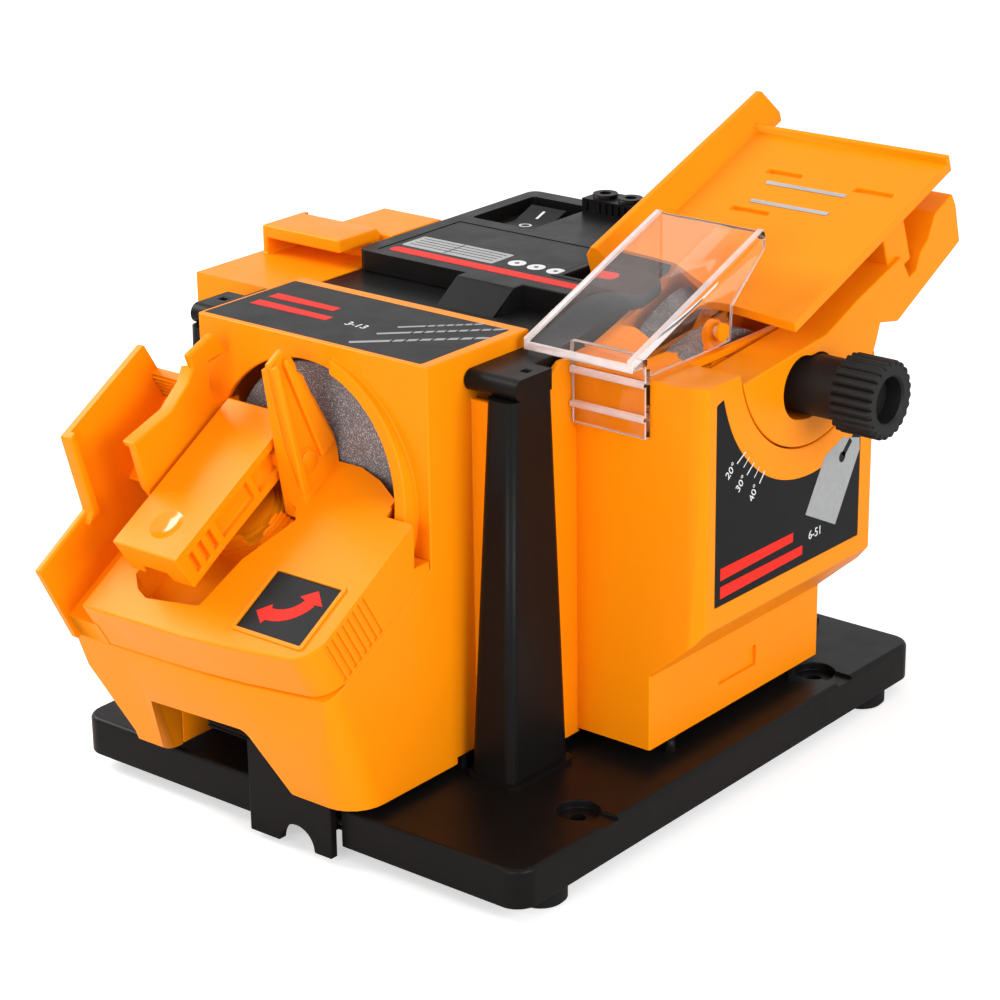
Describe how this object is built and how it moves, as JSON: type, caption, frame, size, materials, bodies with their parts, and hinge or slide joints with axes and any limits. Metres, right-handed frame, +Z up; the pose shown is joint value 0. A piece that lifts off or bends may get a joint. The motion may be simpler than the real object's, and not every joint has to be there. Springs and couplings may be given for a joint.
{
  "type": "drill bit sharpener",
  "caption": "Bench sharpener: a swinging drill bit head in front, a tilting chisel table with a clear guard on one side, a knife slot housing on the other, over a hollow base on rubber feet.",
  "frame": {"origin": "centre of the four bench screws, on the surface that the rubber feet stand on", "axes": "+X to the chisel station, -Y to the drill station, +Z up"},
  "size_m": [0.253, 0.2913, 0.2204],
  "materials": {
    "orange_plastic": "satin",
    "black_plastic": "satin",
    "rubber": "matte",
    "label_dark": "satin",
    "steel": "satin",
    "grinding_grit": "rough",
    "copper_winding": "satin",
    "clear_plastic": "gloss",
    "carbon": "matte"
  },
  "bodies": {
    "machine": {"base_plate": "black_plastic", "rubber_feet": "rubber", "latch_pin": "steel", "corner_columns": "black_plastic", "motor_housing": "black_plastic", "motor_cover": "black_plastic", "rating_plate": "label_dark", "cable_entry": "black_plastic", "size_gauge": "black_plastic", "switch_frame": "black_plastic", "bearing_brackets": "black_plastic", "motor_bearings": "steel", "stator": "steel", "field_coils": "copper_winding", "carbon_brushes": "carbon", "spindle_carrier": "black_plastic", "spindle_bearings": "steel", "drill_housing": "orange_plastic", "drill_label": "label_dark", "head_pivot": "steel", "chisel_housing": "orange_plastic", "scale_plate": "label_dark", "swivel_pins": "steel", "knob_stud": "steel", "guard_pin": "orange_plastic", "knife_housing": "orange_plastic", "knife_guides": "orange_plastic", "guide_screws": "steel"},
    "latch": {"latch_tab": "black_plastic"},
    "rocker": {"switch_rocker": "black_plastic"},
    "motor_rotor": {"rotor": "steel", "motor_shaft": "steel", "cooling_fan": "black_plastic", "motor_bevel": "steel", "chisel_wheel": "grinding_grit", "chisel_nuts": "steel", "knife_wheel": "grinding_grit", "knife_nuts": "steel"},
    "drill_drive": {"spindle_bevel": "steel", "drill_spindle": "steel", "drill_wheel": "grinding_grit", "drill_nut": "steel"},
    "head": {"drill_head": "orange_plastic", "arrow_label": "label_dark", "gauge_leaf": "steel", "lever_pin": "steel", "lever_spring": "steel"},
    "lever": {"clamp_lever": "orange_plastic"},
    "frame": {"swivel_frame": "orange_plastic"},
    "table": {"chisel_table": "orange_plastic", "table_strips": "steel"},
    "knob": {"tilt_knob": "black_plastic"},
    "guard": {"wheel_guard": "clear_plastic"}
  },
  "joints": [
    {"name": "latch_flex", "type": "hinge", "parent": "machine", "child": "latch", "pos_m": [0.004, -0.1155, 0.013], "axis": [1, 0, 0], "range_deg": [-12, 0], "stiffness_Nm_per_rad": 0.6, "springref_deg": 2.86},
    {"name": "switch_rock", "type": "hinge", "parent": "machine", "child": "rocker", "pos_m": [-0.0485, 0.078, 0.1656], "axis": [1, 0, 0], "range_deg": [-18, 0]},
    {"name": "motor_spin", "type": "hinge", "parent": "machine", "child": "motor_rotor", "pos_m": [0, 0.022, 0.119], "axis": [1, 0, 0], "continuous": true},
    {"name": "drill_spin", "type": "hinge", "parent": "machine", "child": "drill_drive", "pos_m": [-0.016, 0, 0.119], "axis": [0, 1, 0], "continuous": true},
    {"name": "head_swing", "type": "hinge", "parent": "machine", "child": "head", "pos_m": [-0.034, -0.10477, 0.11275], "axis": [0, -0.515, 0.8572], "range_deg": [-15, 0]},
    {"name": "lever_press", "type": "hinge", "parent": "head", "child": "lever", "pos_m": [-0.0335, -0.09449, 0.13059], "axis": [1, 0, 0], "range_deg": [0, 10], "stiffness_Nm_per_rad": 0.12, "springref_deg": -20.05},
    {"name": "frame_tilt", "type": "hinge", "parent": "machine", "child": "frame", "pos_m": [0.1, 0.0355, 0.169], "axis": [1, 0, 0], "range_deg": [0, 20]},
    {"name": "table_slide", "type": "slide", "parent": "frame", "child": "table", "axis": [1, 0, 0], "range_m": [0, 0.014]},
    {"name": "knob_turn", "type": "hinge", "parent": "machine", "child": "knob", "pos_m": [0.12, 0.037, 0.146], "axis": [1, 0, 0], "range_deg": [0, 360]},
    {"name": "guard_lift", "type": "hinge", "parent": "machine", "child": "guard", "pos_m": [0.0858, 0.009, 0.168], "axis": [1, 0, 0], "range_deg": [-18, 0]}
  ],
  "couplings": [
    {"joint": "drill_spin", "follows": "motor_spin", "ratio": 1}
  ]
}
